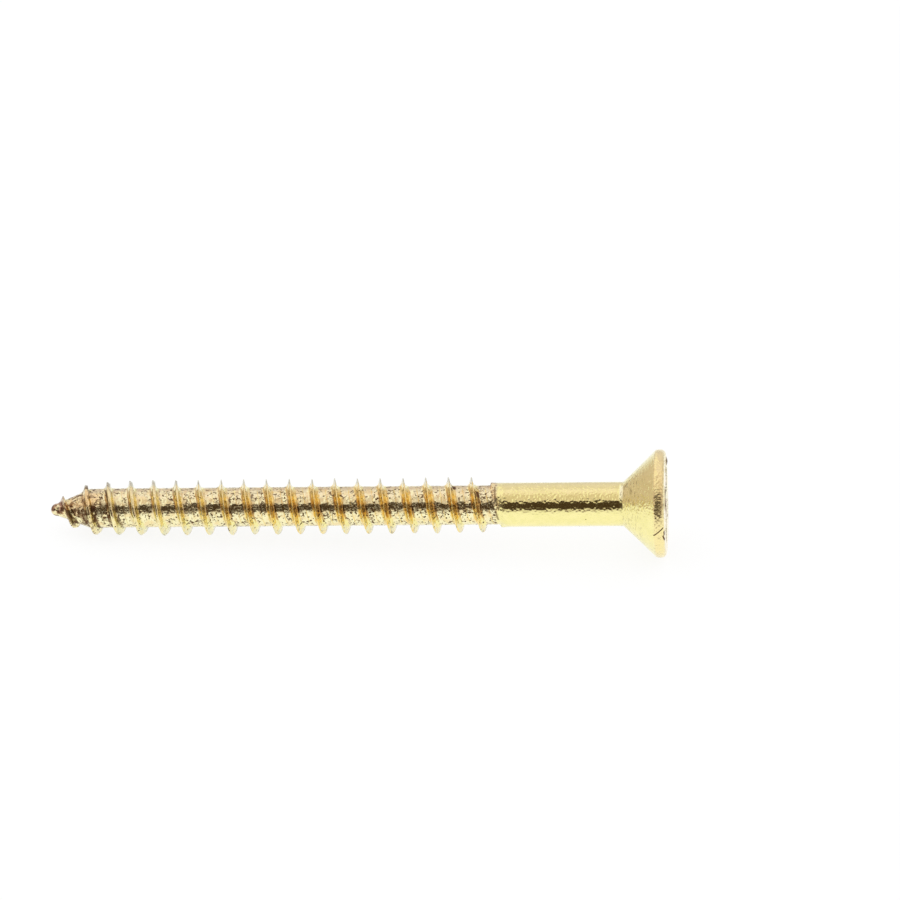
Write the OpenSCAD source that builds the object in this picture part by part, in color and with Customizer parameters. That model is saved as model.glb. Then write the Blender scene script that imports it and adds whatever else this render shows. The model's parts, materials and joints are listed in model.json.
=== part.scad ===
// Countersunk wood screw with a cross recess, formed from one piece of brass wire.
// Drawn along +Z with its point at the origin, then laid down along X with its
// head towards +X, as it comes to rest on a flat floor. Millimetres and degrees.

/* [Overall] */
// Length over all, from the point to the flat face of the head
length = 38.1; // [33:0.1:60]
// Length of the thread, from the point to the end of its run-out
thread_len = 27.75; // [20:0.05:29]

/* [Head] */
// Diameter of the head
head_d = 6.66; // [5.6:0.01:8]
// Included angle of the countersunk cone
cone_angle = 88; // [78:1:96]
// Height of the straight rim between the cone and the flat face
rim_h = 0.59; // [0.4:0.01:0.9]
// Radius on the edge between the cone and the rim
rim_edge_r = 0.3; // [0.04:0.01:0.4]
// Radius on the edge between the rim and the flat face
face_edge_r = 0.3; // [0.04:0.01:0.4]
// Radius of the fillet where the cone runs into the shank
neck_r = 0.15; // [0.1:0.05:1.2]

/* [Shank] */
// Diameter of the plain shank
shank_d = 2.73; // [2.5:0.01:3.3]
// Length of the bevel from the shank down to the root of the thread
shoulder_len = 0.25; // [0.1:0.05:0.6]

/* [Thread] */
// Diameter over the crests
thread_d = 3.5; // [3.1:0.01:4.4]
// Diameter at the root
root_d = 2.42; // [2:0.01:2.6]
// Distance between neighbouring crests
pitch = 1.411; // [1.18:0.001:1.8]
// Width of the flat on the crest
crest_w = 0.07; // [0.04:0.01:0.12]
// Width of the ridge at its foot, fillets included
ridge_w = 0.62; // [0.45:0.01:0.8]
// Width of the ridge at the top of its foot fillets
waist_w = 0.27; // [0.2:0.01:0.35]
// Height of the foot fillets over the root
waist_h = 0.17; // [0.08:0.01:0.25]
// Length over which the ridge dies out at the shank
runout_len = 1.06; // [0.4:0.02:2]
// Turn of the thread about the screw's own axis
thread_turn = 67; // [0:1:359]

/* [Point] */
// Distance from the end of the point to where its cone meets the root
point_len = 2.45; // [2:0.05:3.6]
// Radius of the blunt nub at the end of the point, and of its round nose
nub_r = 0.38; // [0.2:0.01:0.4]
// Length of that nub, nose included
nub_len = 0.42; // [0.4:0.02:1]
// Length over which the ridge of the thread rises from the nub
start_len = 0.5; // [0.3:0.05:1.2]
// Height of the ridge once it has risen there
first_turn_h = 0.4; // [0.2:0.01:0.5]
// Distance from the point at which the ridge reaches its full height
full_thread_at = 8; // [3:0.1:12]

/* [Cross recess] */
// Width over opposite wings where they meet the face, without the flared lip
wing_span = 4.3; // [4:0.01:4.7]
// Width of one wing where it meets the face, without the flared lip
wing_w = 1.16; // [0.95:0.01:1.3]
// Depth of the lip that the punch flared round the mouth
lip_depth = 0.24; // [0.1:0.02:0.4]
// Width of that lip at each wing's outer end
lip_end = 0.22; // [0.05:0.01:0.3]
// Width of that lip along each wing's flanks
lip_side = 0.06; // [0.02:0.01:0.1]
// Depth of the recess on the screw's axis
recess_depth = 2.4; // [2:0.05:2.7]
// Lean of each wing's outer end from the screw's axis
end_lean = 26.5; // [20:0.5:30]
// Lean of each wing's flanks from the screw's axis
flank_lean = 5.75; // [3:0.25:8]
// Distance from the axis to the blunt ridges between the wings, at the face
ridge_reach = 1.18; // [0.95:0.01:1.3]
// Angle between the two facets that meet at each of those ridges
ridge_angle = 140; // [136:1:148]
// Slope of the conical floor
floor_slope = 28; // [20:1:32]
// Turn of the recess about the screw's own axis
recess_turn = 50; // [0:1:89]

/* [Hidden] */

head_r = head_d / 2;
shank_r = shank_d / 2;
root_r = root_d / 2;
crest_r = thread_d / 2;
lean = cone_angle / 2;

// Heights along the screw, above its point
rim_z = length - rim_h;
neck_z = rim_z - (head_r - shank_r) / tan(lean);
shoulder_z = thread_len - shoulder_len;
thread_start = nub_r;

// Facets of the thread in each turn, and straight steps in each rounded corner
turn_steps = 24;
corner_steps = 6;

// Depth to which the foot of the thread's ridge is buried in the core
sink = 0.15;

function smooth(t) = let (u = min(max(t, 0), 1)) u * u * (3 - 2 * u);

// The rounded corner between two straight lines of a profile: points [r, z] on an
// arc about `centre`, from angle `a` to angle `b`.
function corner(centre, radius, a, b) = [
    for (i = [0:corner_steps])
        let (t = a + (b - a) * i / corner_steps)
        centre + radius * [cos(t), sin(t)]
];

// Radius of the core under the thread at height z
function core_r(z) =
    z < nub_r ? sqrt(max(z * (2 * nub_r - z), 0))
    : z < nub_len ? nub_r
    : z < point_len ? nub_r + (root_r - nub_r) * (z - nub_len) / (point_len - nub_len)
    : z < shoulder_z ? root_r
    : min(root_r + (shank_r - root_r) * (z - shoulder_z) / shoulder_len, shank_r);

// The body under the thread: blunt nub, tapered point, root, plain shank and
// countersunk head
module body() {
    neck_bend = neck_r * tan(lean / 2);
    rotate_extrude($fn = 96)
        polygon(concat(
            corner([0, nub_r], nub_r, -90, 0),
            [[nub_r, nub_len], [root_r, point_len]],
            [[root_r, shoulder_z], [shank_r, thread_len]],
            corner([shank_r + neck_r, neck_z - neck_bend], neck_r, 180, 180 - lean),
            corner(rim_edge, rim_edge_r, -lean, 0),
            corner(face_edge, face_bend, 0, 90),
            [[0, length]]
        ));
}

// Radius of the thread's crest at height z: it rises out of the nub, grows to the full
// thread, and sinks into the shank at the run-out.
function crest_at(z) =
    let (grown = first_turn_h + (crest_r - root_r - first_turn_h) * smooth(z / full_thread_at),
         rise = smooth((z - thread_start) / start_len),
         fall = smooth((thread_len - z) / runout_len),
         sunk = -sink / 4)
    (core_r(z) + sunk + (grown - sunk) * rise) * fall + (shank_r + sunk) * (1 - fall);

// One section of the ridge, as [height along the screw, radius] at each corner, where the
// crest is at height z. The foot lies inside the core.
function ridge_section(z) =
    let (h = crest_at(z) - core_r(z),
         w = min(1, 0.35 + (z - thread_start) / pitch) / 2,
         waist = core_r(z) + min(waist_h, h / 2))
    [
        [z - ridge_w * w, core_r(z - ridge_w * w) - sink],
        [z - waist_w * w, waist],
        [z - crest_w * w, crest_at(z)],
        [z + crest_w * w, crest_at(z)],
        [z + waist_w * w, waist],
        [z + ridge_w * w, core_r(z + ridge_w * w) - sink]
    ];

// The right-handed helical ridge of the thread, as one closed skin
module thread_ridge() {
    steps = floor((thread_len - thread_start) / pitch * turn_steps);
    sections = [for (i = [0:steps]) ridge_section(thread_start + i * pitch / turn_steps)];
    corners = len(sections[0]);
    points = [
        for (i = [0:steps], p = sections[i])
            let (a = thread_turn + i * 360 / turn_steps)
            [p[1] * cos(a), p[1] * sin(a), p[0]]
    ];
    skin = [
        for (i = [0:steps - 1], j = [0:corners - 1])
            let (p = i * corners + j, q = i * corners + (j + 1) % corners)
            each [[p, q, p + corners], [q, q + corners, p + corners]]
    ];
    ends = [
        [for (j = [corners - 1:-1:0]) j],
        [for (j = [0:corners - 1]) steps * corners + j]
    ];
    polyhedron(points, concat(skin, ends));
}

// A solid that tapers from the outline `top` at height 0 to the outline `bottom` at
// `-depth`. Both outlines have the same number of corners.
module taper(top, bottom, depth) {
    n = len(top);
    points = concat([for (p = bottom) [p[0], p[1], -depth]], [for (p = top) [p[0], p[1], 0]]);
    walls = [for (i = [0:n - 1]) let (j = (i + 1) % n) [i, i + n, j + n, j]];
    polyhedron(points, concat(walls, [[for (i = [0:n - 1]) i], [for (i = [2 * n - 1:-1:n]) i]]));
}

function rectangle(x, y) = [[-x, -y], [x, -y], [x, y], [-x, y]];

// A four-pointed rhombus whose sides pass the diagonals at `reach` from the axis
function rhombus(reach) =
    let (slant = tan(ridge_angle / 2 - 45), at = reach * cos(45), tip = at + at / slant)
    [[-tip, 0], [0, -tip * slant], [tip, 0], [0, tip * slant]];

// The four wings and the blunt ridges between them, down to the conical floor. It
// reaches a little above the face, so that it cuts clean through it.
module wings() {
    over = 0.3;
    deep = recess_depth + over;
    end = wing_span / 2 + over * tan(end_lean);
    flank = wing_w / 2 + over * tan(flank_lean);
    reach = ridge_reach + over * tan(flank_lean);
    end_low = end - deep * tan(end_lean);
    flank_low = flank - deep * tan(flank_lean);
    reach_low = reach - deep * tan(flank_lean);
    translate([0, 0, over])
        intersection() {
            taper(rectangle(end, end), rectangle(end_low, end_low), deep);
            translate([0, 0, -deep])
                cylinder(h = 2 * deep, r1 = 0, r2 = 2 * deep / tan(floor_slope), $fn = 96);
            for (turn = [0, 90])
                rotate(turn)
                    union() {
                        taper(rectangle(2 * end, flank), rectangle(2 * end, flank_low), deep);
                        taper(rhombus(reach), rhombus(reach_low), deep);
                    }
        }
}

// The lip flared round the mouths of two opposite wings
module lip() {
    deep = 2 * lip_depth;
    end = wing_span / 2 - lip_depth * tan(end_lean);
    flank = wing_w / 2 - lip_depth * tan(flank_lean);
    end_spread = 2 * (wing_span / 2 + lip_end - end);
    flank_spread = 2 * (wing_w / 2 + lip_side - flank);
    translate([0, 0, lip_depth])
        taper(rectangle(end + end_spread, flank + flank_spread), rectangle(end, flank), deep);
}

module cross_recess() {
    wings();
    for (turn = [0, 90]) rotate(turn) lip();
}

// Radius and height of the crest wherever the thread passes under the axis once laid down
low_crests = [
    for (z = [thread_start + pitch * (1 - thread_turn / 360) : pitch : thread_len])
        [crest_at(z), z - crest_w / 2]
];

// Centre of the rounded edge between the cone and the rim, as [radius, height]
rim_edge = [head_r - rim_edge_r, rim_z + rim_edge_r * tan(lean / 2)];

// The rounding between the rim and the face stops where the one below it starts, and its
// centre, as [radius, height]
face_bend = min(face_edge_r, length - rim_edge[1]);
face_edge = [head_r, length] - face_bend * [1, 1];

// Tilt of the axis once laid down: the screw rests on that rounded edge and on the first
// crest that the floor then meets.
tilt = min([
    for (c = low_crests)
        let (gap = [rim_edge[0] - c[0], rim_edge[1] - c[1]])
            atan(gap[0] / gap[1]) + asin(rim_edge_r / norm(gap))
]);

// Lays the screw down, with the floor at height 0 and the middle of its box at the origin.
module lie_down() {
    floor_at = rim_edge[1] * sin(tilt) - rim_edge[0] * cos(tilt) - rim_edge_r;
    nose_at = nub_r * (cos(tilt) - 1);
    face_at = face_edge[1] * cos(tilt) + face_edge[0] * sin(tilt) + face_bend;
    translate([-(nose_at + face_at) / 2, 0, -floor_at])
        rotate([0, 90 - tilt, 0])
            children();
}

module wood_screw() {
    color("gold")
        lie_down()
            union() {
                difference() {
                    body();
                    translate([0, 0, length]) rotate(recess_turn) cross_recess();
                }
                thread_ridge();
            }
}

wood_screw();
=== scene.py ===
"""A brass countersunk wood screw, lying on a white floor in soft light.

The CAD node is replaced by one finely meshed piece of the same size, with the worn
crests, the ragged end of the shank, the burrs round the recess and the uneven skin of a
rolled screw. Its sizes are in millimetres. Its mesh, the floor and the camera are in metres.

A place on the screw is given by s, its distance from the point along the axis, r, its
distance from the axis, and its angle about the axis: 0 degrees is straight down, 90 away
from the camera, 180 up and 270 towards the camera.
"""

import json
import math
from types import SimpleNamespace

import bpy
import numpy as np
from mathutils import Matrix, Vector


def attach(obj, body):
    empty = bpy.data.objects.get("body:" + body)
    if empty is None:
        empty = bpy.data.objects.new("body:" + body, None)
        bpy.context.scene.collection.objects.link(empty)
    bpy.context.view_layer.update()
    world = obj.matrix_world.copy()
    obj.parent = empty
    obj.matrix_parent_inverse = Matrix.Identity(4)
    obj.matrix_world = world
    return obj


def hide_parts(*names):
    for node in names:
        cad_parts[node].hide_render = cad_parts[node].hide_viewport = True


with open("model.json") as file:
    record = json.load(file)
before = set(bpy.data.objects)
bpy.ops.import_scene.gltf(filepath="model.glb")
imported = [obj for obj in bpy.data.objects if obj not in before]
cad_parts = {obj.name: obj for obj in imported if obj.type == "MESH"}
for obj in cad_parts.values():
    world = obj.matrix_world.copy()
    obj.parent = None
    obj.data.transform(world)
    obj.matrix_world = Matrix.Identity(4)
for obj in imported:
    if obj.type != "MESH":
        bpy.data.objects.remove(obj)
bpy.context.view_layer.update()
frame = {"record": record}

MM = 0.001

# Sizes of the screw, as in the part's source
LENGTH = 38.1
HEAD_R = 3.33
RIM_H = 0.59
RIM_EDGE_R = 0.3
FACE_EDGE_R = 0.3
CONE_LEAN = math.radians(44)
NECK_R = 0.15
SHANK_R = 1.365
ROOT_R = 1.21
CREST_R = 1.75
PITCH = 1.411
THREAD_START = 0.38
THREAD_LEN = 27.75
THREAD_TURN = math.radians(67)
RUNOUT_LEN = 1.06
NUB_R = 0.38
NUB_LEN = 0.42
POINT_LEN = 2.45
START_LEN = 0.5
FIRST_TURN_H = 0.4
FULL_THREAD_AT = 8.0
RECESS_TURN = math.radians(50)
RECESS_DEPTH = 2.4
WING_END = 2.15
WING_SIDE = 0.58
RIDGE_REACH = 1.18
RIDGE_SLANT = math.radians(25)
END_LEAN = math.radians(26.5)
FLANK_LEAN = math.radians(5.75)
FLOOR_SLOPE = math.radians(28)
LIP_DEPTH = 0.24

# How far the lip spreads at the wings' ends, at their sides and at the ridges
LIP_END, LIP_SIDE, LIP_RIDGE = 0.22, 0.08, 0.06

# The ridge's section: distances from the middle of its crest, and share of its height there
RIDGE_OFF = np.array([0.0, 0.028, 0.048, 0.072, 0.115, 0.175, 0.285])
RIDGE_SHARE = np.array([1.0, 0.97, 0.76, 0.52, 0.29, 0.11, 0.0])

# Unevenness of the crest's height and of its place, each wave as its size, how many there
# are in a turn, where it starts and its seed
CREST_WEAR = [(0.022, 2.3, 40, 1), (0.012, 9, 90, 2), (0.008, 31, 200, 3)]
CREST_SWAY = [(0.018, 1.7, 60, 4), (0.008, 13, 20, 5)]
MEAN_WEAR = 0.03

# The crests are blunt up to this distance from the point, by this much, and bevelled more on
# the side of the head than on the side of the point. The bevel also takes off some height.
BLUNT_TO, BLUNT = 10.0, 0.10
HEAD_BEVEL, POINT_BEVEL, LOST_HEIGHT = 1.3, 0.35, 2.6

# How far the point leans to the front, and where the lean starts
TIP_LEAN, TIP_LEAN_FROM = 0.16, 4.0

# The shank's end: where its edge lies, how far the edge sways along the screw, and the angles
# at which it sways furthest to the head and at which it is worn to a ragged slope
SHANK_END, END_SWAY = THREAD_LEN - 0.13, 0.3
END_TURN, SLOPE_TURN = math.radians(335), math.radians(250)

# Section of that end: distance past the edge, radius with the small lip, radius on the slope
END_STEPS = [
    (-0.2, 1.1, 1.1), (-0.06, 1.2, 1.2), (0.0, 1.36, 1.225), (0.06, 1.385, 1.25),
    (0.2, 1.372, 1.305), (0.34, 1.366, 1.358), (0.42, SHANK_R, SHANK_R),
]

# Burrs on the face round the recess: place upwards and frontwards, spread each way, height
BURRS = [
    (2.60, 0.05, 0.27, 0.30, 0.11),
    (2.05, 0.30, 0.10, 0.20, 0.06),
    (1.85, -0.50, 0.12, 0.20, 0.05),
    (0.75, 2.35, 0.30, 0.16, 0.08),
    (0.25, 2.45, 0.30, 0.14, 0.06),
    (-0.15, 2.38, 0.22, 0.14, 0.09),
    (-1.00, 0.85, 0.14, 0.20, 0.06),
    (-1.62, 0.75, 0.16, 0.25, 0.12),
    (-1.80, 0.62, 0.10, 0.20, 0.07),
]

# Angle about the axis at which the camera sees the upper outline
UPPER_OUTLINE = math.radians(149)


# ---------------------------------------------------------------- unevenness


def smooth(t):
    """Smooth step from 0 to 1."""
    t = np.clip(t, 0.0, 1.0)
    return t * t * (3.0 - 2.0 * t)


def ripple(x, seed):
    """Smooth 1D noise in -1..1 with about one wave per unit of x."""
    table = np.random.default_rng(seed).uniform(-1.0, 1.0, 4096)
    i = np.floor(x).astype(int)
    return table[i % 4096] + (table[(i + 1) % 4096] - table[i % 4096]) * smooth(x - i)


def ripples(x, waves):
    """Several ripples added up, each given as its size, rate, start and seed."""
    return sum(size * ripple(x * rate + start, seed) for size, rate, start, seed in waves)


def ripple2(x, y, seed):
    """Smooth 2D noise in -1..1 with about one wave per unit of x and of y."""
    table = np.random.default_rng(seed).uniform(-1.0, 1.0, (512, 512))
    i, j = np.floor(x).astype(int), np.floor(y).astype(int)
    u, v = smooth(x - i), smooth(y - j)
    a, b = table[i % 512, j % 512], table[(i + 1) % 512, j % 512]
    c, d = table[i % 512, (j + 1) % 512], table[(i + 1) % 512, (j + 1) % 512]
    return (a + (b - a) * u) * (1 - v) + (c + (d - c) * u) * v


# ---------------------------------------------------------------- places on the screw


def screw_axes():
    """The face's centre, the axis towards the head, and the down and back directions across it."""
    face = next(m for m in frame["record"]["mounts"] if m["name"] == "head_face")
    centre, along = np.array(face["pos_m"]), np.array(face["axis"])
    back = np.array([0.0, 1.0, 0.0])
    down = np.cross(back, along)
    if down[2] > 0:
        down = -down
    return centre, along / np.linalg.norm(along), down / np.linalg.norm(down), back


def to_world(s, r, angle):
    """Points in metres for places on the screw, with the point's lean."""
    centre, along, down, back = screw_axes()
    out = centre + ((s - LENGTH) * MM)[..., None] * along
    out = out + (r * np.cos(angle) * MM)[..., None] * down
    out = out + (r * np.sin(angle) * MM)[..., None] * back
    out[..., 1] -= TIP_LEAN * MM * np.clip((TIP_LEAN_FROM - s) / TIP_LEAN_FROM, 0, 1) ** 1.5
    return out


# ---------------------------------------------------------------- thread and point


def core_r(s):
    """Radius under the thread."""
    nose = np.sqrt(np.clip(s * (2 * NUB_R - s), 0, None))
    cone = NUB_R + (ROOT_R - NUB_R) * (s - NUB_LEN) / (POINT_LEN - NUB_LEN)
    r = np.where(s < NUB_R, nose, np.maximum(NUB_R, np.minimum(cone, ROOT_R)))
    return np.where(s <= 0, 0.0, r)


def crest_r(s):
    """Radius of the thread's crest, which sinks into the shank at the run-out."""
    grown = FIRST_TURN_H + (CREST_R - ROOT_R - FIRST_TURN_H) * smooth(s / FULL_THREAD_AT)
    rise = smooth((s - THREAD_START) / START_LEN)
    fall = smooth((THREAD_LEN - s) / RUNOUT_LEN)
    return (core_r(s) + grown * rise) * fall + (SHANK_R - 0.02) * (1 - fall)


def one_turn():
    """Rows across one pitch, from crest to crest: distance past the crest and share of the height."""
    root = np.linspace(RIDGE_OFF[-1], PITCH - RIDGE_OFF[-1], 9)[1:-1]
    across = np.concatenate([RIDGE_OFF, root, PITCH - RIDGE_OFF[:0:-1]])
    share = np.concatenate([RIDGE_SHARE, np.zeros_like(root), RIDGE_SHARE[:0:-1]])
    return across, share


def thread_grid(columns=144):
    """Point and thread as a grid: each column goes along the screw, each row follows the helix.

    Returns s, r and angle at each place, the distance from the nearest crest in each row,
    and the number of rows in a turn.
    """
    across, share = one_turn()
    turns = int(math.ceil((THREAD_LEN - THREAD_START) / PITCH)) + 1
    turn_at = [THREAD_START + (k - 1) * PITCH for k in range(turns + 1)]
    row_s = np.concatenate([at + across for at in turn_at])
    past_middle = across > PITCH / 2
    off = np.tile(np.where(past_middle, across - PITCH, across), turns + 1)
    share = np.tile(share, turns + 1)
    crest_row_s = np.repeat(turn_at, len(across)) + PITCH * np.tile(past_middle, turns + 1)

    # One column more than the turn holds: the last repeats the first, a turn further on
    turned = (np.arange(columns + 1) / columns)[:, None]
    s = row_s[None, :] + PITCH * turned
    crest_s = crest_row_s[None, :] + PITCH * turned
    angle = np.broadcast_to(THREAD_TURN + 2 * math.pi * turned, s.shape)

    # Uneven crests, whose wear depends on how far they are along the helix
    travel = (crest_s - THREAD_START) / PITCH
    wear = ripples(travel, CREST_WEAR) - MEAN_WEAR
    height = np.clip(crest_r(crest_s) - core_r(crest_s) + wear * smooth(crest_s / 2), -0.05, None)
    s = s + ripples(travel, CREST_SWAY) * share[None, :] * smooth(s - 0.5)

    # Blunt and bevelled crests near the point
    blunt = BLUNT * smooth((BLUNT_TO - crest_s) / 5.0) * smooth((crest_s - 0.8) / 0.8)
    bevel = np.where(off > 0, HEAD_BEVEL, -POINT_BEVEL * (off < 0))
    s = s + bevel[None, :] * blunt * np.sqrt(share)[None, :]
    height = height * (1 - LOST_HEIGHT * blunt * ((off > 0) & (share > 0.5))[None, :])

    # Rough roots
    r = core_r(s) + height * share[None, :]
    bumps = 0.006 * ripple2(s * 4 + 50, angle * 6 + 50, 6) + 0.004 * ripple2(s * 9 + 50, angle * 14, 7)
    r = np.where(s > 0.35, r + bumps * (1 - share[None, :]), r)
    r = np.where(s <= 0, 0.0, r)
    return np.clip(s, 0, None), r, angle, off, len(across)


def nub_rings(columns=48):
    """The nub's round end, a hair proud of the thread's grid, which is coarse there."""
    angle = np.linspace(0, 2 * math.pi, columns, endpoint=False)
    rings = []
    for t in np.radians([1, 12, 24, 36, 48, 60, 70, 78]):
        s, r = NUB_R * (1 - math.cos(t)), NUB_R * math.sin(t) + 0.003
        rings.append((np.full(columns, s), np.full(columns, r), angle, "nub"))
    return rings


# ---------------------------------------------------------------- recess


def cross_outline(end, side, reach):
    """A cross-section of the recess: 128 points round the four wings and the blunt ridges."""
    at = reach * math.cos(math.radians(45))
    bend = at + (at - side) / math.tan(RIDGE_SLANT)
    eighth = [(end, side * t) for t in np.linspace(0, 1, 5)[:-1]]
    eighth += [(end + (bend - end) * t, side) for t in np.linspace(0, 1, 5)[:-1]]
    eighth += [(bend + (at - bend) * t, side + (at - side) * t) for t in np.linspace(0, 1, 9)[:-1]]
    eighth = np.array(eighth + [(at, at)])
    mirror = eighth[-2:0:-1, ::-1]
    quarter = np.concatenate([eighth, mirror])
    points = []
    for k in range(4):
        c, d = math.cos(k * math.pi / 2), math.sin(k * math.pi / 2)
        points.append(quarter @ np.array([[c, d], [-d, c]]))
    return np.concatenate(points)


def lip_outline(t):
    """Cross-section of the lip, from its mouth at t = 0 to its foot at t = 1."""
    end_drop, side_drop = LIP_DEPTH * math.tan(END_LEAN), LIP_DEPTH * math.tan(FLANK_LEAN)
    return cross_outline(
        WING_END + LIP_END + (-end_drop - LIP_END) * t,
        WING_SIDE + LIP_SIDE + (-side_drop - LIP_SIDE) * t,
        RIDGE_REACH + LIP_RIDGE + (-side_drop - LIP_RIDGE) * t,
    )


def recess_outline(depths):
    """Outline of the recess where each of its points lies at a depth of its own."""
    sections = {}
    points = []
    for k, depth in enumerate(depths):
        deep = round(float(depth), 3)
        if deep not in sections:
            sections[deep] = cross_outline(
                WING_END - deep * math.tan(END_LEAN),
                WING_SIDE - deep * math.tan(FLANK_LEAN),
                RIDGE_REACH - deep * math.tan(FLANK_LEAN),
            )
        points.append(sections[deep][k])
    return np.array(points)


def polar(outline):
    """Radius and angle about the screw's axis of an outline's points."""
    angle = np.unwrap(np.arctan2(outline[:, 1], outline[:, 0])) + RECESS_TURN
    return np.hypot(outline[:, 0], outline[:, 1]), angle


def recess_rings():
    """Rings of the lip, the walls and the conical floor."""
    rings = []

    def at_depth(outline, depth):
        r, angle = polar(outline)
        rings.append((LENGTH - depth, r, angle, "recess"))

    count = len(lip_outline(0))
    for depth in (0.02, 0.07, 0.14, LIP_DEPTH):
        at_depth(lip_outline(math.sqrt(depth / LIP_DEPTH)), np.full(count, depth))

    # Where the leaning walls meet the floor's cone, closer with each pass
    floor = np.full(count, RECESS_DEPTH)
    for _ in range(12):
        r, _ = polar(recess_outline(floor))
        floor = RECESS_DEPTH - r * math.tan(FLOOR_SLOPE)
    for t in np.linspace(0, 1, 9)[1:]:
        depth = LIP_DEPTH + (floor - LIP_DEPTH) * t
        foot = recess_outline(depth)
        at_depth(foot, depth)
    r, _ = polar(foot)
    for t in np.linspace(1, 0, 8)[1:]:
        at_depth(foot * max(t, 0.001), RECESS_DEPTH - r * t * math.tan(FLOOR_SLOPE))
    return rings


# ---------------------------------------------------------------- shank and head


def burr(r, angle):
    """Height of the burrs over the face."""
    up, front = r * np.cos(angle - UPPER_OUTLINE), r * np.sin(angle - UPPER_OUTLINE)
    height = np.zeros_like(r)
    for at_up, at_front, up_spread, front_spread, top in BURRS:
        apart = ((up - at_up) / up_spread) ** 2 + ((front - at_front) / front_spread) ** 2
        height = height + top * np.exp(-apart)
    return height


def shank_and_head_rings():
    """Rings of the shank's end, shank, cone, rim, face and recess: s, r and angle at each point."""
    mouth_r, mouth_angle = polar(lip_outline(0))
    _, angle = polar(cross_outline(WING_END, WING_SIDE, RIDGE_REACH))
    count = len(angle)
    rings = []

    def ring(s, r, part="side"):
        rings.append((np.broadcast_to(s, count).copy(), np.broadcast_to(r, count).copy(), angle, part))

    # The shank's end follows the thread's last turn, with a small lip, and a ragged slope
    # instead of the lip in front
    edge = SHANK_END + END_SWAY * np.cos(angle - END_TURN)
    slope = smooth((np.cos(angle - SLOPE_TURN) - 0.1) / 0.5)
    for past_edge, lip_r, slope_r in END_STEPS:
        ragged = 0.008 * ripple(angle * 9 + 30, 11) * (slope_r < SHANK_R)
        part = "shoulder" if -0.1 < past_edge < 0.3 else "side"
        ring(edge + past_edge, lip_r + (slope_r - lip_r) * slope + ragged, part)

    # Shank, from just past that end, and neck
    rim_s = LENGTH - RIM_H
    bend_s = rim_s - (HEAD_R - SHANK_R) / math.tan(CONE_LEAN) - NECK_R * math.tan(CONE_LEAN / 2)
    for s in np.linspace(THREAD_LEN + 0.65, bend_s, 52)[:-1]:
        ring(s, SHANK_R + 0.002 * ripple2(s * 1.3, angle * 4 + 9, 12))
    for t in np.linspace(0, CONE_LEAN, 8):
        cone_s, cone_r = bend_s + NECK_R * math.sin(t), SHANK_R + NECK_R * (1 - math.cos(t))
        ring(cone_s, cone_r)

    # Cone, from the neck's end, and the rounded edge between it and the rim
    edge_s, edge_r = rim_s + RIM_EDGE_R * math.tan(CONE_LEAN / 2), HEAD_R - RIM_EDGE_R
    end_s, end_r = edge_s - RIM_EDGE_R * math.sin(CONE_LEAN), edge_r + RIM_EDGE_R * math.cos(CONE_LEAN)
    for t in np.linspace(0, 1, 16)[1:-1]:
        s, r = cone_s + (end_s - cone_s) * t, cone_r + (end_r - cone_r) * t
        ring(s, r + 0.006 * ripple2(s * 2, angle * 3 + 5, 13))
    for t in np.linspace(-CONE_LEAN, 0, 6):
        ring(edge_s + RIM_EDGE_R * math.sin(t), edge_r + RIM_EDGE_R * math.cos(t))

    # Rim, rounded over to the face
    face_r = HEAD_R - FACE_EDGE_R
    for t in np.linspace(0, math.pi / 2, 10):
        ring(LENGTH - FACE_EDGE_R * (1 - math.sin(t)), face_r + FACE_EDGE_R * math.cos(t))

    # Face, from the rim's circle to the mouth of the recess
    for t in np.linspace(0, 1, 22)[1:]:
        r, a = face_r + (mouth_r - face_r) * t, angle + (mouth_angle - angle) * t
        s = LENGTH + burr(r, a) * smooth(t * 4) + 0.004 * ripple2(r * 3 + 9, a * 6 + 9, 15)
        rings.append((s, r, a, "face"))
    return rings + recess_rings()


# ---------------------------------------------------------------- the piece


def grid_quads(s, angle, rows_in_turn):
    """Quads and corner UVs of the thread's grid, whose last column joins the first a turn on."""
    columns, rows = s.shape[0] - 1, s.shape[1]
    index = np.arange(columns * rows).reshape(columns, rows)
    after_last = np.concatenate([index[0][rows_in_turn:], np.full(rows_in_turn, -1)])
    end = THREAD_LEN + 0.5
    faces, uvs = [], []
    for c in range(columns):
        here = index[c]
        there = index[c + 1] if c + 1 < columns else after_last
        for j in range(rows - 1):
            corners = [(c, j), (c + 1, j), (c + 1, j + 1), (c, j + 1)]
            missing = min(there[j], there[j + 1]) < 0
            before_nub = max(s[c, j + 1], s[c + 1, j + 1]) <= 0
            past_end = min(s[c, j], s[c + 1, j]) > end
            if missing or before_nub or past_end:
                continue
            faces.append((here[j], there[j], there[j + 1], here[j + 1]))
            uvs += [(s[corner], angle[corner]) for corner in corners]
    return faces, uvs


def ring_quads(rings, base):
    """Quads and corner UVs between neighbouring rings, whose vertices count up from base."""
    count = len(rings[0][0])
    faces, uvs = [], []
    for k in range(len(rings) - 1):
        (s0, _, a0, _), (s1, _, a1, _) = rings[k], rings[k + 1]
        low, high = base + k * count, base + (k + 1) * count
        for c in range(count):
            d = (c + 1) % count
            wrap = 2 * math.pi if d == 0 else 0.0
            faces.append((low + c, low + d, high + d, high + c))
            uvs += [(s0[c], a0[c]), (s0[d], a0[d] + wrap), (s1[d], a1[d] + wrap), (s1[c], a1[c])]
    return faces, uvs


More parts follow.
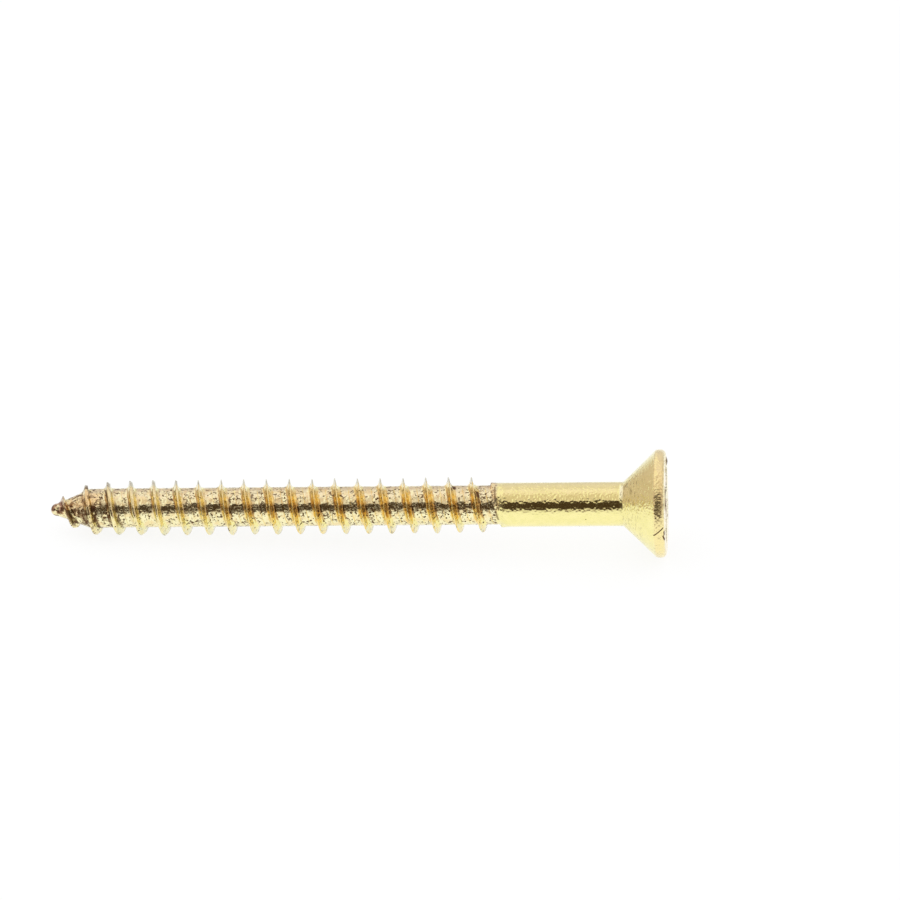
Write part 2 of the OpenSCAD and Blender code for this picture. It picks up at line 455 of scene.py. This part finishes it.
def build_screw():
    """The whole screw as one mesh, with what the material needs to know at each vertex."""
    s, r, angle, off, rows_in_turn = thread_grid()
    faces, uvs = grid_quads(s, angle, rows_in_turn)
    soft = [True] * len(faces)
    columns = len(s) - 1
    verts = [to_world(s, r, angle)[:columns].reshape(-1, 3)]
    parts = ("shoulder", "face", "recess")
    marks = {name: [np.zeros(len(verts[0]))] for name in ("burr", *parts)}
    marks["from_crest"] = [np.tile(off, columns)]

    for rings in (nub_rings(), shank_and_head_rings()):
        more_faces, more_uvs = ring_quads(rings, sum(len(v) for v in verts))
        faces += more_faces
        uvs += more_uvs
        for s, r, angle, part in rings:
            verts.append(to_world(s, r, angle))
            marks["from_crest"].append(np.ones(len(s)))
            marks["burr"].append(np.clip((s - LENGTH - 0.02) / 0.03, 0, 1))
            for name in parts:
                marks[name].append(np.full(len(s), float(part == name)))
        for s, _, _, part in rings[1:]:
            soft += [part != "recess"] * len(s)

    mesh = bpy.data.meshes.new("wood_screw_skin")
    mesh.from_pydata(np.concatenate(verts).tolist(), [], [tuple(int(v) for v in q) for q in faces])
    layer = mesh.uv_layers.new(name="along_round")
    layer.data.foreach_set("uv", (np.array(uvs) / (LENGTH, 2 * math.pi)).astype(np.float32).ravel())
    for name, values in marks.items():
        mark = mesh.attributes.new(name, "FLOAT", "POINT")
        mark.data.foreach_set("value", np.concatenate(values).astype(np.float32))
    mesh.polygons.foreach_set("use_smooth", soft)
    mesh.update()
    piece = bpy.data.objects.new("wood_screw_skin", mesh)
    bpy.context.scene.collection.objects.link(piece)
    return piece


# ---------------------------------------------------------------- node formulas


class Field:
    """A value that varies from place to place: one output of a node, which takes part in formulas."""

    def __init__(self, nodes, socket):
        self.nodes, self.socket = nodes, socket

    def __add__(self, other):
        return self.nodes.math("ADD", self, other)

    def __sub__(self, other):
        return self.nodes.math("SUBTRACT", self, other)

    def __rsub__(self, other):
        return self.nodes.math("SUBTRACT", other, self)

    def __mul__(self, other):
        return self.nodes.math("MULTIPLY", self, other)

    def __truediv__(self, other):
        return self.nodes.math("DIVIDE", self, other)

    def __pow__(self, other):
        return self.nodes.math("POWER", self, other)

    def __abs__(self):
        return self.nodes.math("ABSOLUTE", self)

    def clamped(self):
        """The value held to 0..1."""
        return self.nodes.math("ADD", self, 0.0, clamp=True)

    def between(self, low, high):
        """Smooth step from 0 where the value is low to 1 where it is high."""
        ends = {"Value": self, "From Min": low, "From Max": high}
        return self.nodes.field("ShaderNodeMapRange", ends, interpolation_type="SMOOTHSTEP")

    def before(self, at, blur=0.1):
        """1 where the value is under at, 0 where it is over."""
        return self.between(at + blur, at - blur)

    def after(self, at, blur=0.1):
        """1 where the value is over at, 0 where it is under."""
        return self.between(at - blur, at + blur)

    def belt(self, middle, half):
        """1 where the value is near the middle, 0 from half away on."""
        return abs(self - middle).between(half, half * 0.4)


class Nodes:
    """Short calls that add nodes to one material or world and link them."""

    def __init__(self, owner):
        owner.use_nodes = True
        self.tree = owner.node_tree
        self.tree.nodes.clear()

    def add(self, kind, inputs=None, **settings):
        """A node with these settings, whose inputs are values, fields or sockets."""
        node = self.tree.nodes.new(kind)
        for key, value in settings.items():
            setattr(node, key, value)
        for key, value in (inputs or {}).items():
            self.put(node.inputs[key], value)
        return node

    def put(self, socket, value):
        """Gives a socket its value, or links it to the field or socket that has one."""
        source = value.socket if isinstance(value, Field) else value
        if isinstance(source, bpy.types.NodeSocket):
            self.tree.links.new(source, socket)
        else:
            socket.default_value = source

    def field(self, kind, inputs=None, output=0, **settings):
        """One output of a new node, as a field."""
        return Field(self, self.add(kind, inputs, **settings).outputs[output])

    def math(self, operation, a, b=0.0, clamp=False):
        return self.field("ShaderNodeMath", {0: a, 1: b}, operation=operation, use_clamp=clamp)

    def either(self, a, b):
        """The larger of two values."""
        return self.math("MAXIMUM", a, b)

    def parts(self, vector):
        """The three parts of a vector."""
        node = self.add("ShaderNodeSeparateXYZ", {0: vector})
        return [Field(self, socket) for socket in node.outputs]

    def mark(self, name):
        """A value that the mesh carries at its vertices."""
        return self.field("ShaderNodeAttribute", output="Fac", attribute_name=name)

    def noise(self, place, scale, detail=2.0, roughness=0.5):
        settings = {"Vector": place, "Scale": scale, "Detail": detail, "Roughness": roughness}
        return self.field("ShaderNodeTexNoise", settings, output="Fac")

    def ramp(self, value, stops):
        """A colour that runs through the stops, each a position and a colour."""
        node = self.add("ShaderNodeValToRGB", {"Fac": value})
        elements = node.color_ramp.elements
        for k, (at, colour) in enumerate(stops):
            element = elements[k] if k < 2 else elements.new(at)
            element.position, element.color = at, colour
        return node.outputs[0]

    def mix(self, share, a, b):
        """Colour a, with a share of colour b over it."""
        node = self.add("ShaderNodeMix", {"Factor": share}, data_type="RGBA")
        self.put(node.inputs[6], a)
        self.put(node.inputs[7], b)
        return node.outputs[2]

    def finish(self, kind, shader):
        """Links the shader to the output node of this kind."""
        self.tree.links.new(shader.outputs[0], self.add(kind).inputs["Surface"])


def rgba(r, g, b):
    return (r, g, b, 1.0)


def grey(value):
    return rgba(value, value, value)


# ---------------------------------------------------------------- brass

# Where the look of the shank, of the cone and of the rim starts, as distance from the point
SHANK_AT = 27.7
CONE_AT = 35.3
RIM_AT = 37.45

# Smooth brass: two shades of the shank, the neck's painted highlight, the rim, the cone's upper edge with a
# painted reflection
SHANK_SHADES = (rgba(0.95, 0.87, 0.37), rgba(1.0, 0.91, 0.41))
NECK_HIGHLIGHT = rgba(1.0, 0.96, 0.60)
RIM = rgba(1.0, 0.84, 0.40)
CONE_EDGE_REFLECTION = rgba(1.0, 0.97, 0.62)

# Rolled brass: two shades of the roots and of the ridges, near the point and further on, painted highlight
# and painted reflection colours, and the crests
ROOT_SHADES = (rgba(0.96, 0.80, 0.43), rgba(1.0, 0.93, 0.56))
LIGHT_GOLD = (rgba(0.90, 0.75, 0.38), rgba(1.0, 0.92, 0.50))
DEEP_GOLD = (rgba(0.95, 0.65, 0.18), rgba(1.0, 0.83, 0.32))
LIT_GOLD = rgba(1.0, 0.82, 0.38)
REFLECTED_PALE_GOLD = rgba(1.0, 0.95, 0.42)
WORN_CREST = rgba(1.0, 0.89, 0.47)
# Painted reflections on the worn crests near the outlines
DULL_CREST_REFLECTION = rgba(0.74, 0.77, 0.52)
GREY_CREST_REFLECTION = rgba(0.60, 0.60, 0.50)

# Tarnish, painted shade and a painted highlight: the roots' shaded tops, brown, copper, warm highlight,
# nub, torn end, specks
SHADED_ROOT = rgba(0.66, 0.47, 0.26)
BROWN = rgba(0.52, 0.30, 0.09)
COPPER = rgba(0.55, 0.31, 0.13)
WARM_HIGHLIGHT = rgba(1.0, 0.74, 0.36)
NUB_BROWN = rgba(0.50, 0.31, 0.20)
TORN = rgba(0.85, 0.60, 0.28)
SPECK = rgba(0.15, 0.075, 0.032)

# The recess: painted shade on its walls and its bottom, and a painted highlight on its lip
SHADED_RECESS_WALL = rgba(0.86, 0.58, 0.22)
SHADED_RECESS_BOTTOM = rgba(0.20, 0.11, 0.05)
RECESS_LIP_HIGHLIGHT = rgba(1.0, 0.96, 0.72)

# Dark marks: s, angle in degrees, and size
MARKS = [
    (24.87, 170, 0.11), (26.4, 211, 0.09), (21.0, 200, 0.07), (4.9, 152, 0.10), (33.2, 282, 0.05),
    (2.48, 178, 0.13), (1.87, 179, 0.11),
]
MARK_R = 1.6

# Dark strokes on the rim, the point, the crests and the end of the thread: s and angle where
# each starts, s and angle where it ends, its width, the radius there, and its strength
STROKES = [
    (37.43, 275.3, 38.01, 266.0, 0.05, 3.3, 1.0),
    (38.08, 271.5, 38.08, 276.3, 0.06, 3.3, 1.0),
    (38.0, 276.2, 38.09, 284.0, 0.05, 3.3, 1.0),
    (1.17, 249.0, 1.47, 300.0, 0.13, 0.9, 0.75),
    (2.06, 252.0, 2.38, 284.0, 0.14, 1.1, 0.75),
    (2.9, 268.0, 3.05, 305.0, 0.07, 1.25, 0.9),
    (3.42, 176.0, 3.73, 228.0, 0.06, 1.3, 0.9),
    (24.84, 172.0, 25.06, 179.0, 0.09, 1.4, 0.9),
    (25.05, 172.0, 25.08, 182.0, 0.17, 1.25, 1.0),
    (26.53, 200.0, 26.60, 214.0, 0.13, 1.25, 1.0),
    (26.58, 214.0, 26.66, 232.0, 0.09, 1.25, 0.8),
    (27.60, 184.0, 27.63, 218.0, 0.09, 1.36, 0.6),
    (27.64, 218.0, 27.76, 238.0, 0.11, 1.36, 0.6),
    (27.66, 258.0, 27.80, 286.0, 0.09, 1.36, 0.65),
]


def places(nodes):
    """Coordinates, noises, marks and regions of the screw, on which its brass depends."""
    uv = nodes.parts(nodes.add("ShaderNodeUVMap", uv_map="along_round").outputs[0])
    along, degrees = uv[0] * LENGTH, nodes.math("FRACT", uv[1]) * 360.0
    metres = nodes.add("ShaderNodeTexCoord").outputs["Object"]
    place = nodes.field("ShaderNodeVectorMath", {0: metres, "Scale": 1 / MM}, operation="SCALE")

    def stretched(*scale):
        return nodes.field("ShaderNodeVectorMath", {0: place, 1: scale}, operation="MULTIPLY")

    skin = SimpleNamespace(along=along, degrees=degrees, place=place)
    skin.wave = nodes.noise(place, 1.6, 1.0)
    skin.cloud = nodes.noise(place, 2.4, 3.0, 0.6)
    skin.patch = nodes.noise(place, 1.1, 2.0)
    skin.grain = nodes.noise(place, 3.4, 1.0)
    skin.fine = nodes.noise(place, 6.5, 1.0)
    skin.hammered = nodes.noise(place, 7.0, 0.0)
    skin.ringed = nodes.noise(stretched(2.2, 0.7, 0.7), 5.5, 1.0)
    skin.flowing = nodes.noise(stretched(0.75, 1.0, 1.0), 3.0, 1.5)

    # Parts of the surface
    skin.burrs = nodes.mark("burr")
    skin.recess = nodes.mark("recess")
    skin.shoulder = nodes.mark("shoulder")
    skin.face = nodes.mark("face")
    skin.off_face = 1.0 - nodes.either(skin.face, skin.recess)
    skin.rolled = along.before(SHANK_AT)
    skin.shank = along.after(SHANK_AT) * along.before(CONE_AT)
    skin.cone = along.after(CONE_AT) * along.before(RIM_AT, 0.05)
    skin.rim = along.after(RIM_AT, 0.05)

    # The ridge's crest, sides and foot, with an edge that wanders
    skin.from_crest = nodes.mark("from_crest")
    skin.off = abs(skin.from_crest - 0.02)
    skin.reach = skin.off + (skin.grain - 0.5) * 0.16
    skin.ridge = skin.reach.between(0.33, 0.27) * skin.rolled
    skin.foot = abs(skin.reach - 0.25).between(0.08, 0.02) * skin.rolled
    skin.head_side = skin.from_crest.between(-0.03, 0.07)
    skin.point_side = 1.0 - skin.head_side
    return skin


def smooth_colour(nodes, skin):
    """Shank, neck, cone and rim, with a painted highlight on the neck and a painted reflection along the
    cone's upper edge.
    """
    # painted highlight: a bright streak where the neck's fillet catches the light
    neck_highlight = skin.along.belt(35.4, 0.16) * skin.degrees.belt(204.0, 30.0)
    # painted reflection: the cone paler along its upper outline
    cone_edge_reflection = skin.cone * skin.degrees.between(176.0, 160.0)
    colour = nodes.mix(skin.cloud.between(0.35, 0.65), *SHANK_SHADES)
    colour = nodes.mix(neck_highlight, colour, NECK_HIGHLIGHT)
    colour = nodes.mix(skin.rim * 0.8, colour, RIM)
    return nodes.mix(cone_edge_reflection * 0.7, colour, CONE_EDGE_REFLECTION)


def ridge_colour(nodes, skin, high):
    """Golden sides of the ridges: deeper away from the point, with a painted highlight on the point's side
    round 208 degrees, and a painted reflection that makes them paler towards both outlines.
    """
    shade = skin.fine.between(0.38, 0.6)
    # painted highlight on the ridges' point side
    lit = skin.point_side * skin.degrees.belt(208.0, 18.0)
    # painted reflection: the ridges paler near the lower and upper outlines
    low = skin.degrees.between(262.0, 292.0)
    pale_reflection = skin.from_crest.between(0.0, 0.22) * nodes.either(low, high)
    deep = nodes.mix(lit, nodes.mix(shade, *DEEP_GOLD), LIT_GOLD)
    colour = nodes.mix(skin.along.between(6.0, 17.0), nodes.mix(shade, *LIGHT_GOLD), deep)
    return nodes.mix(pale_reflection * 0.85, colour, REFLECTED_PALE_GOLD)


def crest_wear_and_reflections(nodes, skin, colour, high):
    """Worn crests, with painted reflections that make them duller towards the outlines and grey at the top.
    """
    worn = skin.off.between(0.17, 0.05) * (skin.rolled * skin.grain.between(0.4, 0.6))
    worn = worn * (skin.along.between(2.6, 5.2) * 0.75 + 0.25)
    # painted reflection: worn crests duller near the upper and lower outlines
    dull_reflection = nodes.either(high * 0.8, skin.degrees.between(280.0, 296.0) * 0.6)
    # painted reflection: crests grey along the upper outline
    crest_top_reflection = skin.off.between(0.14, 0.06) * skin.rolled * skin.degrees.between(190.0, 172.0)
    colour = nodes.mix(worn * 0.6, colour, WORN_CREST)
    colour = nodes.mix(worn * dull_reflection, colour, DULL_CREST_REFLECTION)
    return nodes.mix(crest_top_reflection * 0.8, colour, GREY_CREST_REFLECTION)


def tarnish_and_painted_shade(nodes, skin, colour):
    """Tarnish at the ridges' feet, on the point and on the shank's torn end, with painted shade on the
    roots' tops and the ridges' feet, a painted reflection on the ridges' sides, and a painted highlight
    near the point.
    """
    late = skin.along.between(6.0, 14.0)
    # painted shade: the roots darker along the upper outline
    top_of_root = (skin.rolled - skin.ridge) * skin.degrees.belt(171.0, 17.0)
    colour = nodes.mix(top_of_root * 0.4, colour, SHADED_ROOT)
    # painted reflection: the dark gap reflected as brown on the ridges' head side round 246 degrees
    shaded_side = skin.from_crest.between(0.03, 0.09) * skin.ridge * skin.degrees.belt(246.0, 28.0)
    colour = nodes.mix(shaded_side * late * 0.65, colour, BROWN)

    # painted shade: the ridges' feet browner at the angles where they look shaded, over tarnish that lies
    # in them all round
    brown = skin.point_side * skin.degrees.belt(224.0, 44.0)
    brown = brown + skin.head_side * skin.degrees.belt(262.0, 34.0) * late
    brown = brown + skin.head_side * skin.degrees.belt(199.0, 16.0) * 0.3
    tarnish_and_shade = skin.foot * (brown * 0.8 + 0.12).clamped()
    colour = nodes.mix(tarnish_and_shade * skin.cloud.between(0.33, 0.5), colour, BROWN)

    point = (skin.along + skin.cloud * 2.0).between(4.6, 1.8)
    copper = point * (skin.degrees.belt(245.0, 45.0) * 0.7 + 0.3)
    # painted highlight: a warm orange patch on the point round 212 degrees
    warm_highlight = skin.along.belt(2.5, 0.9) * skin.degrees.belt(212.0, 32.0)
    nub = skin.along.between(1.0, 0.7) * skin.degrees.between(275.0, 250.0)
    torn = skin.shoulder * skin.grain.between(0.36, 0.56) * skin.degrees.between(285.0, 235.0)
    colour = nodes.mix(copper * skin.grain.between(0.35, 0.6), colour, COPPER)
    colour = nodes.mix(warm_highlight * 0.7, colour, WARM_HIGHLIGHT)
    colour = nodes.mix(nub * skin.grain.between(0.3, 0.55), colour, NUB_BROWN)
    return nodes.mix(torn * 0.55, colour, TORN)


def recess_painted_light(nodes, skin, colour):
    """The recess, with painted shade that darkens it with its depth, under a painted highlight on its lip.
    """
    colour = nodes.mix(skin.recess * skin.along.between(38.0, 37.2), colour, SHADED_RECESS_WALL)
    colour = nodes.mix(skin.recess * skin.along.between(37.4, 36.0), colour, SHADED_RECESS_BOTTOM)
    return nodes.mix(skin.recess * skin.along.between(37.6, 38.0), colour, RECESS_LIP_HIGHLIGHT)


def close_to_line(skin, start, end, width, radius):
    """1 close to the line between two places, each given as s and angle, on skin of that radius."""
    arc = math.radians(1.0) * radius
    (at, angle), (to, turned) = start, end
    dx, dy = to - at, (turned - angle) * arc
    x, y = skin.along - at, (skin.degrees - angle) * arc
    share = ((x * dx + y * dy) / max(dx * dx + dy * dy, 1e-6)).clamped()
    ex, ey = x - share * dx, y - share * dy
    return ((ex * ex + ey * ey) ** 0.5).between(width, width * 0.4)


def dark_specks(nodes, skin):
    """Pits, lines, dots, marks and strokes that are dark brown, as a share of that colour, with painted
    reflection and painted shadow among them.
    """
    # Where the roots get more dark specks and lines, by angle: a painted reflection of the dark
    # surroundings, over pits all round
    dark_reflection_belts = nodes.either(skin.degrees.belt(258.0, 24.0), skin.degrees.belt(163.0, 14.0))
    dark_reflection_belts = nodes.either(dark_reflection_belts, skin.degrees.belt(318.0, 12.0) * 0.8)
    dark_reflection_belts = nodes.either(dark_reflection_belts, skin.degrees.belt(286.0, 30.0) * 0.8)
    dark_reflection_belts = nodes.either(dark_reflection_belts, skin.degrees.belt(198.0, 26.0) * 0.35)
    dark_reflection_belts = (dark_reflection_belts - skin.ridge * 0.7) * skin.rolled

    pits = (skin.fine + dark_reflection_belts * 0.035).between(0.60, 0.66) * (skin.cloud + dark_reflection_belts * 0.06).between(0.43, 0.57)
    specks = pits * (skin.rolled + skin.rim * 0.3).clamped()

    # Dark spots on the rim round 238 degrees, and fine wavy lines in the roots that are a painted
    # reflection of the dark gap
    spots = nodes.noise(skin.place, 9.0, 0.0).between(0.44, 0.58)
    rim_spots = skin.rim * skin.off_face * skin.degrees.belt(238.0, 13.0) * spots
    specks = (specks + rim_spots * 0.35).clamped()
    lines = abs(skin.flowing - 0.5).between(0.035, 0.01) * (skin.patch + dark_reflection_belts * 0.05).between(0.49, 0.58)
    lines = lines * (skin.rolled - skin.ridge)
    specks = (specks + lines * 0.85).clamped()

    # Dots on the cone, the mottled point, and painted shadow in the crevices under the first ridges
    dots = skin.ringed.between(0.54, 0.64) * skin.along.between(37.2, 36.2) * skin.cone
    specks = (specks + dots * (skin.degrees.belt(205.0, 45.0) * 0.25 + 0.2)).clamped()
    mottles = skin.grain.between(0.53, 0.60) * skin.along.between(5.0, 2.0)
    specks = (specks + mottles * 0.65).clamped()
    crevice_shadow = abs(skin.reach).belt(0.27, 0.16) * skin.degrees.between(215.0, 240.0)
    crevice_shadow = crevice_shadow * skin.along.between(5.6, 4.0) * skin.grain.between(0.36, 0.5)
    specks = (specks + crevice_shadow * 0.85).clamped()

    # The shank's ragged end
    ragged = (skin.along + skin.grain * 0.5).belt(28.15, 0.36) * skin.fine.between(0.55, 0.63)
    specks = (specks + ragged * (skin.degrees.belt(245.0, 32.0) * 0.7)).clamped()

    for at, angle, size in MARKS:
        specks = nodes.either(specks, close_to_line(skin, (at, angle), (at, angle), size, MARK_R))
    strokes = 0.0
    for at, angle, to, turned, width, radius, strength in STROKES:
        stroke = close_to_line(skin, (at, angle), (to, turned), width, radius)
        strokes = nodes.either(strokes, stroke * strength)
    specks = nodes.either(specks, strokes * skin.off_face)
    return nodes.either(specks, skin.burrs * skin.grain.between(0.26, 0.36))


def brass():
    """Yellow brass: smooth shank, rough rolled thread, golden ridges, tarnished point and grooves, with
    painted highlights, reflections and shade.
    """
    material = bpy.data.materials.new("brass")
    nodes = Nodes(material)
    skin = places(nodes)
    # the upper outline, where ridges and crests get painted reflections
    high = skin.degrees.between(196.0, 178.0)
    root = nodes.mix(skin.cloud.between(0.38, 0.52), *ROOT_SHADES)
    colour = nodes.mix(skin.rolled, smooth_colour(nodes, skin), root)
    colour = nodes.mix(skin.ridge, colour, ridge_colour(nodes, skin, high))
    colour = crest_wear_and_reflections(nodes, skin, colour, high)
    colour = tarnish_and_painted_shade(nodes, skin, colour)
    colour = recess_painted_light(nodes, skin, colour)
    specks = dark_specks(nodes, skin)
    colour = nodes.mix(specks, colour, SPECK)

    # How rough each region is, and its relief in millimetres
    rim_grain = skin.rim * (1.0 - skin.face * 0.6)
    rough = skin.rolled + skin.cone * 0.6 + rim_grain + skin.along.belt(27.95, 0.55) * 1.4
    depth = skin.shank * 0.023 + skin.cone * 0.024 + rim_grain * 0.036 + skin.along.between(3.4, 2.4) * 0.03
    relief = (skin.fine * 0.012 + skin.grain * 0.04) * rough
    relief = relief + skin.hammered * depth
    relief = relief + skin.wave * (skin.rolled * 0.03 + 0.002)
    relief = relief - specks * 0.01
    bump = nodes.add("ShaderNodeBump", {"Height": relief, "Strength": 1.0, "Distance": MM})

    roughness = rough * 0.04 + skin.rim * 0.09 + skin.cone * 0.06 + 0.12
    settings = {
        "Base Color": colour,
        "Metallic": 1.0,
        "Roughness": roughness + specks * 0.3,
        "Normal": bump.outputs[0],
        "Coat Weight": (0.6 - skin.rolled * 0.4) * (1.0 - specks),
        "Coat Roughness": 0.12,
    }
    nodes.finish("ShaderNodeOutputMaterial", nodes.add("ShaderNodeBsdfPrincipled", settings))
    return material


# ---------------------------------------------------------------- surroundings


def surroundings():
    """A white tent with a dark gap round the photographer, which only reflections see."""
    world = bpy.data.worlds.new("tent")
    bpy.context.scene.world = world
    nodes = Nodes(world)
    x, y, z = nodes.parts(nodes.add("ShaderNodeTexCoord").outputs["Generated"])
    across = abs(x)

    # Turn from the front horizon, over the top, to the back horizon: 0 to 1
    turn = nodes.math("ARCTAN2", z, y * -1.0) / math.pi
    tent = nodes.ramp(turn, [
        (0.0, rgba(0.70, 0.62, 0.58)), (0.44, rgba(0.71, 0.61, 0.57)), (0.52, rgba(0.92, 0.82, 0.88)),
        (0.61, rgba(0.955, 0.875, 0.97)), (0.69, rgba(0.785, 0.71, 0.75)), (0.80, rgba(0.81, 0.74, 0.84)),
        (0.96, rgba(0.72, 0.67, 0.70)), (1.0, rgba(0.72, 0.67, 0.70)),
    ])

    # A bright panel above to the left, a warm glow at both ends, and dimmer sides
    panel = x.between(-0.14, -0.26) * x.between(-0.52, -0.40) * z.between(0.1, 0.4)
    tent = nodes.mix(panel, tent, rgba(1.0, 0.97, 0.95))
    ends = across.between(0.5, 0.65) * z.between(0.4, 0.6)
    tent = nodes.mix(ends, tent, rgba(0.96, 0.86, 0.80))
    front = turn.between(0.50, 0.36) * 0.6
    left = x.between(-0.40, -0.62) * nodes.either(front, z.between(0.50, 0.30))
    tent = nodes.mix(left, tent, rgba(0.64, 0.53, 0.52))
    right = x.between(0.3, 0.7) * nodes.either(front, z.between(0.34, 0.10))
    tent = nodes.mix(right, tent, rgba(0.60, 0.51, 0.56))

    gap = turn.between(0.275, 0.24) * across.between(0.88, 0.64) * turn.between(-0.01, 0.05)
    tent = nodes.mix(gap, tent, rgba(0.055, 0.033, 0.018))
    path = nodes.add("ShaderNodeLightPath")
    light = nodes.mix(path.outputs["Is Glossy Ray"], grey(1.0), tent)
    glow = nodes.add("ShaderNodeBackground", {"Color": light, "Strength": 1.0})
    nodes.finish("ShaderNodeOutputWorld", glow)


def floor():
    """The white floor under the screw. It fades into the white behind it and keeps the screw's shadow."""
    size = 3.0
    corners = [(-size, -size, 0), (size, -size, 0), (size, size, 0), (-size, size, 0)]
    mesh = bpy.data.meshes.new("floor")
    mesh.from_pydata(corners, [], [(0, 1, 2, 3)])
    sheet = bpy.data.objects.new("floor", mesh)
    bpy.context.scene.collection.objects.link(sheet)
    material = bpy.data.materials.new("white_card")
    nodes = Nodes(material)

    # Reflections see the card darker with the distance from the screw, sooner in front than behind
    x, y, _ = nodes.parts(nodes.add("ShaderNodeTexCoord").outputs["Object"])
    sideways = nodes.either(abs(x) - 0.019, 0.0)
    ahead = nodes.either(y * -1.0, y * 0.45)
    away = (sideways ** 2.0 + ahead ** 2.0) ** 0.5
    card = nodes.ramp(away / 0.1, [
        (0.0, grey(1.0)), (0.06, grey(1.0)), (0.12, grey(0.95)), (0.25, rgba(0.82, 0.81, 0.81)),
        (0.5, rgba(0.68, 0.66, 0.66)), (1.0, rgba(0.56, 0.52, 0.52)),
    ])
    path = nodes.add("ShaderNodeLightPath")
    glossy = Field(nodes, path.outputs["Is Glossy Ray"])
    seen = (glossy + path.outputs["Is Camera Ray"]).clamped()
    colour = nodes.mix(glossy, grey(1.0), card)
    diffuse = nodes.add("ShaderNodeBsdfDiffuse", {"Color": grey(0.16)})
    lift = nodes.add("ShaderNodeEmission", {"Color": colour, "Strength": seen * 0.86})
    both = nodes.add("ShaderNodeAddShader", {0: diffuse.outputs[0], 1: lift.outputs[0]})
    nodes.finish("ShaderNodeOutputMaterial", both)
    mesh.materials.append(material)


def camera():
    """A long lens above and in front of the screw, a little to its head's side."""
    azimuth, elevation, distance = math.radians(3.634), math.radians(31), 0.39865
    target = Vector((0.005635, 0.0, 0.006679))
    back = Vector((
        math.sin(azimuth) * math.cos(elevation),
        -math.cos(azimuth) * math.cos(elevation),
        math.sin(elevation),
    ))
    data = bpy.data.cameras.new("camera")
    data.sensor_width = 36.0
    data.lens = 260.0
    data.clip_start = 0.05
    data.clip_end = 20.0
    eye = bpy.data.objects.new("camera", data)
    eye.location = target + back * distance
    eye.rotation_mode = "QUATERNION"
    eye.rotation_quaternion = (-back).to_track_quat("-Z", "Y")
    bpy.context.scene.collection.objects.link(eye)
    bpy.context.scene.camera = eye


bpy.context.scene.view_settings.view_transform = "Standard"
surroundings()
floor()
camera()

screw = build_screw()
screw.data.materials.append(brass())
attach(screw, "root")
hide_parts("wood_screw")
